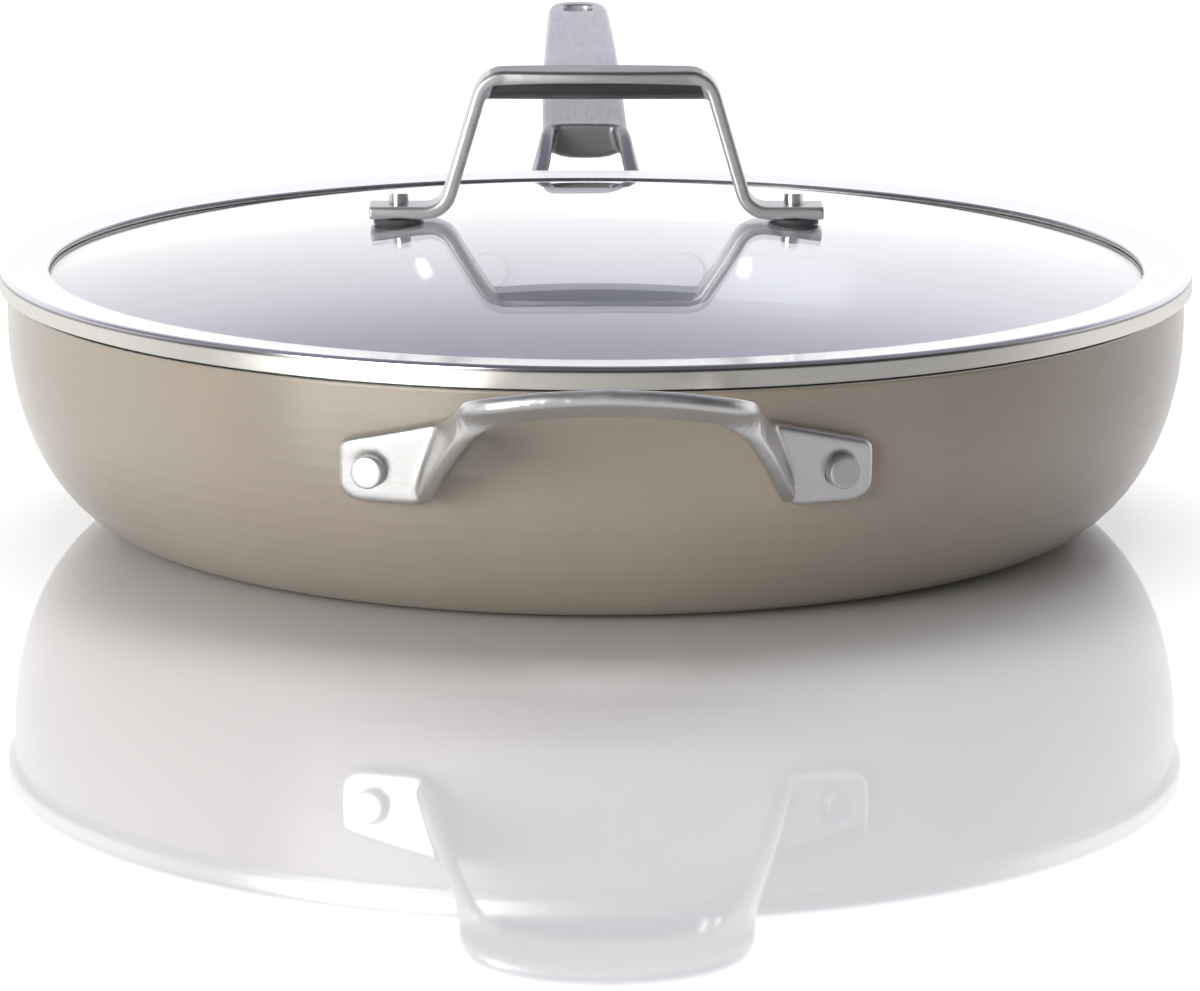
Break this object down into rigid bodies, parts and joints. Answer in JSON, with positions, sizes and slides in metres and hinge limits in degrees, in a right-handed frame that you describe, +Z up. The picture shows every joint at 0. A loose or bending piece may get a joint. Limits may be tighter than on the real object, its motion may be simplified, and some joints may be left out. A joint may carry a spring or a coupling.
{
  "type": "frying pan with lid",
  "caption": "Wide frying pan with a rounded wall, a forked long handle, a riveted helper handle and a domed glass lid in a rolled metal rim with a bent bar handle.",
  "frame": {"origin": "middle of the pan's flat base, on the surface that the pan stands on", "axes": "+Z up along the pan's axis, +Y towards the long handle's tip, -Y towards the helper handle, +X to the right seen from the helper handle"},
  "size_m": [0.3208, 0.5783, 0.1218],
  "materials": {
    "pan_coating": "aluminium with a satin taupe coating and a bare bright rim edge",
    "satin_steel": "fine satin brushed",
    "rolled_steel": "polished flange, finely brushed skirt",
    "rivet_steel": "turned and lightly polished",
    "lid_glass": "clear tempered glass",
    "gasket_rubber": "matt silicone rubber"
  },
  "bodies": {
    "pan": {"pan_body": "pan_coating", "helper_handle": "satin_steel", "helper_rivet_left": "rivet_steel", "helper_rivet_right": "rivet_steel", "long_handle": "satin_steel", "long_rivet_left": "rivet_steel", "long_rivet_right": "rivet_steel"},
    "lid": {"lid_rim": "rolled_steel", "lid_glass": "lid_glass", "lid_handle": "satin_steel", "upper_gasket_left": "gasket_rubber", "upper_gasket_right": "gasket_rubber", "lower_gasket_left": "gasket_rubber", "lower_gasket_right": "gasket_rubber", "washer_left": "rivet_steel", "washer_right": "rivet_steel", "screw_left": "rivet_steel", "screw_right": "rivet_steel", "cap_nut_left": "rivet_steel", "cap_nut_right": "rivet_steel"}
  },
  "joints": [
    {"name": "lid_lift", "type": "slide", "parent": "pan", "child": "lid", "axis": [0, 0, 1], "range_m": [0, 0.06]}
  ]
}
